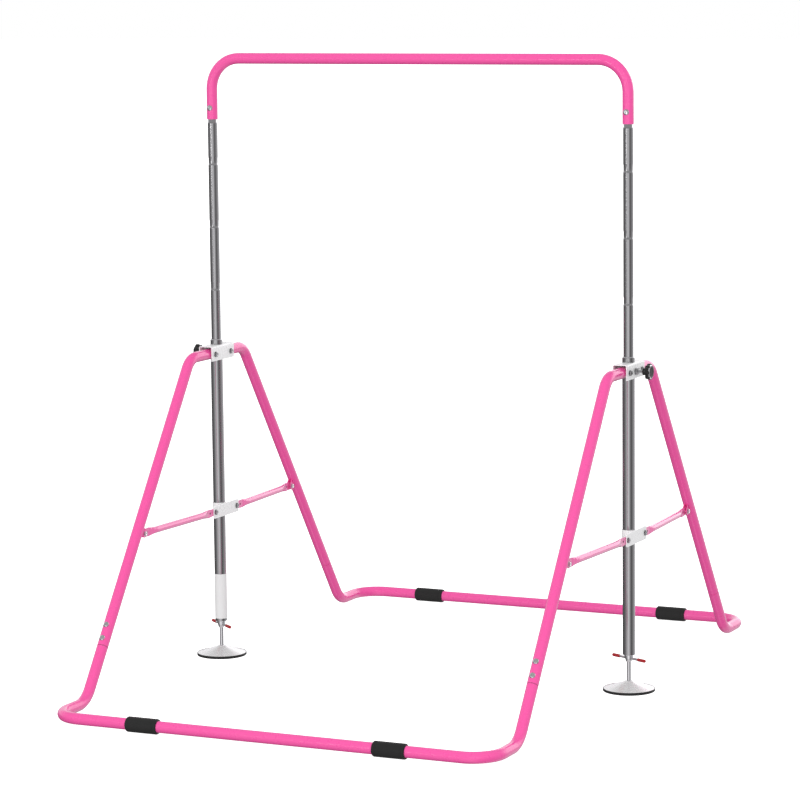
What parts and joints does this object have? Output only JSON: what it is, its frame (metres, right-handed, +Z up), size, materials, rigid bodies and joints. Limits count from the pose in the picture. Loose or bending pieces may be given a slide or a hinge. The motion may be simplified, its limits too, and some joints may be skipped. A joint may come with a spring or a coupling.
{
  "type": "kip bar",
  "caption": "Free-standing kip bar: a height-adjustable bar on two telescoping uprights, held by folding front and rear leg frames, struts and screw-down feet.",
  "frame": {"origin": "middle of the footprint, on the floor", "axes": "+X along the bar to the right, +Y to the rear, +Z up"},
  "size_m": [1.225, 1.6996, 1.5134],
  "materials": {
    "pink_coat": "gloss pink powder coat",
    "chrome": "chrome plate on steel tube",
    "bright_zinc": "bright zinc plate",
    "black_plastic": "satin moulded plastic",
    "black_rubber": "satin rubber"
  },
  "bodies": {
    "uprights": {"lower_tube_left": "chrome", "tube_plug_left": "bright_zinc", "bracket_left": "bright_zinc", "pivot_bolt_front_left": "bright_zinc", "pivot_bolt_rear_left": "bright_zinc", "lower_tube_right": "chrome", "tube_plug_right": "bright_zinc", "bracket_right": "bright_zinc", "pivot_bolt_front_right": "bright_zinc", "pivot_bolt_rear_right": "bright_zinc"},
    "top": {"top_bar": "pink_coat", "upper_tube_left": "chrome", "bar_screw_left": "bright_zinc", "upper_tube_right": "chrome", "bar_screw_right": "bright_zinc"},
    "front_frame": {"base_frame_front": "pink_coat", "leg_front_left": "pink_coat", "grip_front_left": "black_rubber", "joint_screw_front_left_lower": "bright_zinc", "joint_screw_front_left_upper": "bright_zinc", "lug_bolt_front_left": "bright_zinc", "leg_front_right": "pink_coat", "grip_front_right": "black_rubber", "joint_screw_front_right_lower": "bright_zinc", "joint_screw_front_right_upper": "bright_zinc", "lug_bolt_front_right": "bright_zinc"},
    "rear_frame": {"base_frame_rear": "pink_coat", "leg_rear_left": "pink_coat", "grip_rear_left": "black_rubber", "joint_screw_rear_left_lower": "bright_zinc", "joint_screw_rear_left_upper": "bright_zinc", "lug_bolt_rear_left": "bright_zinc", "leg_rear_right": "pink_coat", "grip_rear_right": "black_rubber", "joint_screw_rear_right_lower": "bright_zinc", "joint_screw_rear_right_upper": "bright_zinc", "lug_bolt_rear_right": "bright_zinc"},
    "knob_left": {"knob_left": "black_plastic", "knob_screw_left": "bright_zinc"},
    "strut_front_left": {"strut_front_left": "pink_coat"},
    "strut_rear_left": {"strut_rear_left": "pink_coat"},
    "collar_left": {"collar_left": "bright_zinc", "ear_bolt_front_left": "bright_zinc", "ear_bolt_rear_left": "bright_zinc"},
    "foot_left": {"foot_cone_left": "bright_zinc", "foot_rubber_left": "black_rubber"},
    "handle_left": {"jack_screw_left": "bright_zinc", "handle_bar_left": "bright_zinc"},
    "knob_right": {"knob_right": "black_plastic", "knob_screw_right": "bright_zinc"},
    "strut_front_right": {"strut_front_right": "pink_coat"},
    "strut_rear_right": {"strut_rear_right": "pink_coat"},
    "collar_right": {"collar_right": "bright_zinc", "ear_bolt_front_right": "bright_zinc", "ear_bolt_rear_right": "bright_zinc"},
    "foot_right": {"foot_cone_right": "bright_zinc", "foot_rubber_right": "black_rubber"},
    "handle_right": {"jack_screw_right": "bright_zinc", "handle_bar_right": "bright_zinc"}
  },
  "joints": [
    {"name": "bar_height", "type": "slide", "parent": "uprights", "child": "top", "axis": [0, 0, 1], "range_m": [-0.468, 0]},
    {"name": "front_fold", "type": "hinge", "parent": "uprights", "child": "front_frame", "pos_m": [0, -0.04, 0.769], "axis": [1, 0, 0], "range_deg": [0, 30]},
    {"name": "rear_fold", "type": "hinge", "parent": "uprights", "child": "rear_frame", "pos_m": [0, 0.04, 0.769], "axis": [-1, 0, 0], "range_deg": [0, 30]},
    {"name": "collar_lift_left", "type": "slide", "parent": "uprights", "child": "collar_left", "axis": [0, 0, 1], "range_m": [0, 0.1999]},
    {"name": "strut_turn_front_left", "type": "hinge", "parent": "front_frame", "child": "strut_front_left", "pos_m": [-0.55, -0.3916, 0.373], "axis": [1, 0, 0], "range_deg": [0, 44.29]},
    {"name": "strut_turn_rear_left", "type": "hinge", "parent": "rear_frame", "child": "strut_rear_left", "pos_m": [-0.55, 0.3916, 0.373], "axis": [-1, 0, 0], "range_deg": [0, 44.29]},
    {"name": "knob_turn_left", "type": "hinge", "parent": "uprights", "child": "knob_left", "pos_m": [-0.55, 0, 0.769], "axis": [-1, 0, 0], "continuous": true},
    {"name": "foot_level_left", "type": "slide", "parent": "uprights", "child": "foot_left", "axis": [0, 0, 1], "range_m": [-0.0301, 0]},
    {"name": "handle_turn_left", "type": "hinge", "parent": "foot_left", "child": "handle_left", "pos_m": [-0.55, 0, 0.079], "axis": [0, 0, 1], "range_deg": [-4320, 0]},
    {"name": "collar_lift_right", "type": "slide", "parent": "uprights", "child": "collar_right", "axis": [0, 0, 1], "range_m": [0, 0.1999]},
    {"name": "strut_turn_front_right", "type": "hinge", "parent": "front_frame", "child": "strut_front_right", "pos_m": [0.55, -0.3916, 0.373], "axis": [1, 0, 0], "range_deg": [0, 44.29]},
    {"name": "strut_turn_rear_right", "type": "hinge", "parent": "rear_frame", "child": "strut_rear_right", "pos_m": [0.55, 0.3916, 0.373], "axis": [-1, 0, 0], "range_deg": [0, 44.29]},
    {"name": "knob_turn_right", "type": "hinge", "parent": "uprights", "child": "knob_right", "pos_m": [0.55, 0, 0.769], "axis": [1, 0, 0], "continuous": true},
    {"name": "foot_level_right", "type": "slide", "parent": "uprights", "child": "foot_right", "axis": [0, 0, 1], "range_m": [-0.0301, 0]},
    {"name": "handle_turn_right", "type": "hinge", "parent": "foot_right", "child": "handle_right", "pos_m": [0.55, 0, 0.079], "axis": [0, 0, 1], "range_deg": [-4320, 0]}
  ],
  "couplings": [
    {"joint": "rear_fold", "follows": "front_fold", "ratio": 1},
    {"joint": "collar_lift_left", "follows": "front_fold", "m_per_rad": 0.38087},
    {"joint": "strut_turn_front_left", "follows": "front_fold", "ratio": 1.4729},
    {"joint": "strut_turn_rear_left", "follows": "front_fold", "ratio": 1.4729},
    {"joint": "foot_level_left", "follows": "handle_turn_left", "m_per_rad": 0.00039789},
    {"joint": "collar_lift_right", "follows": "front_fold", "m_per_rad": 0.38087},
    {"joint": "strut_turn_front_right", "follows": "front_fold", "ratio": 1.4729},
    {"joint": "strut_turn_rear_right", "follows": "front_fold", "ratio": 1.4729},
    {"joint": "foot_level_right", "follows": "handle_turn_right", "m_per_rad": 0.00039789}
  ]
}
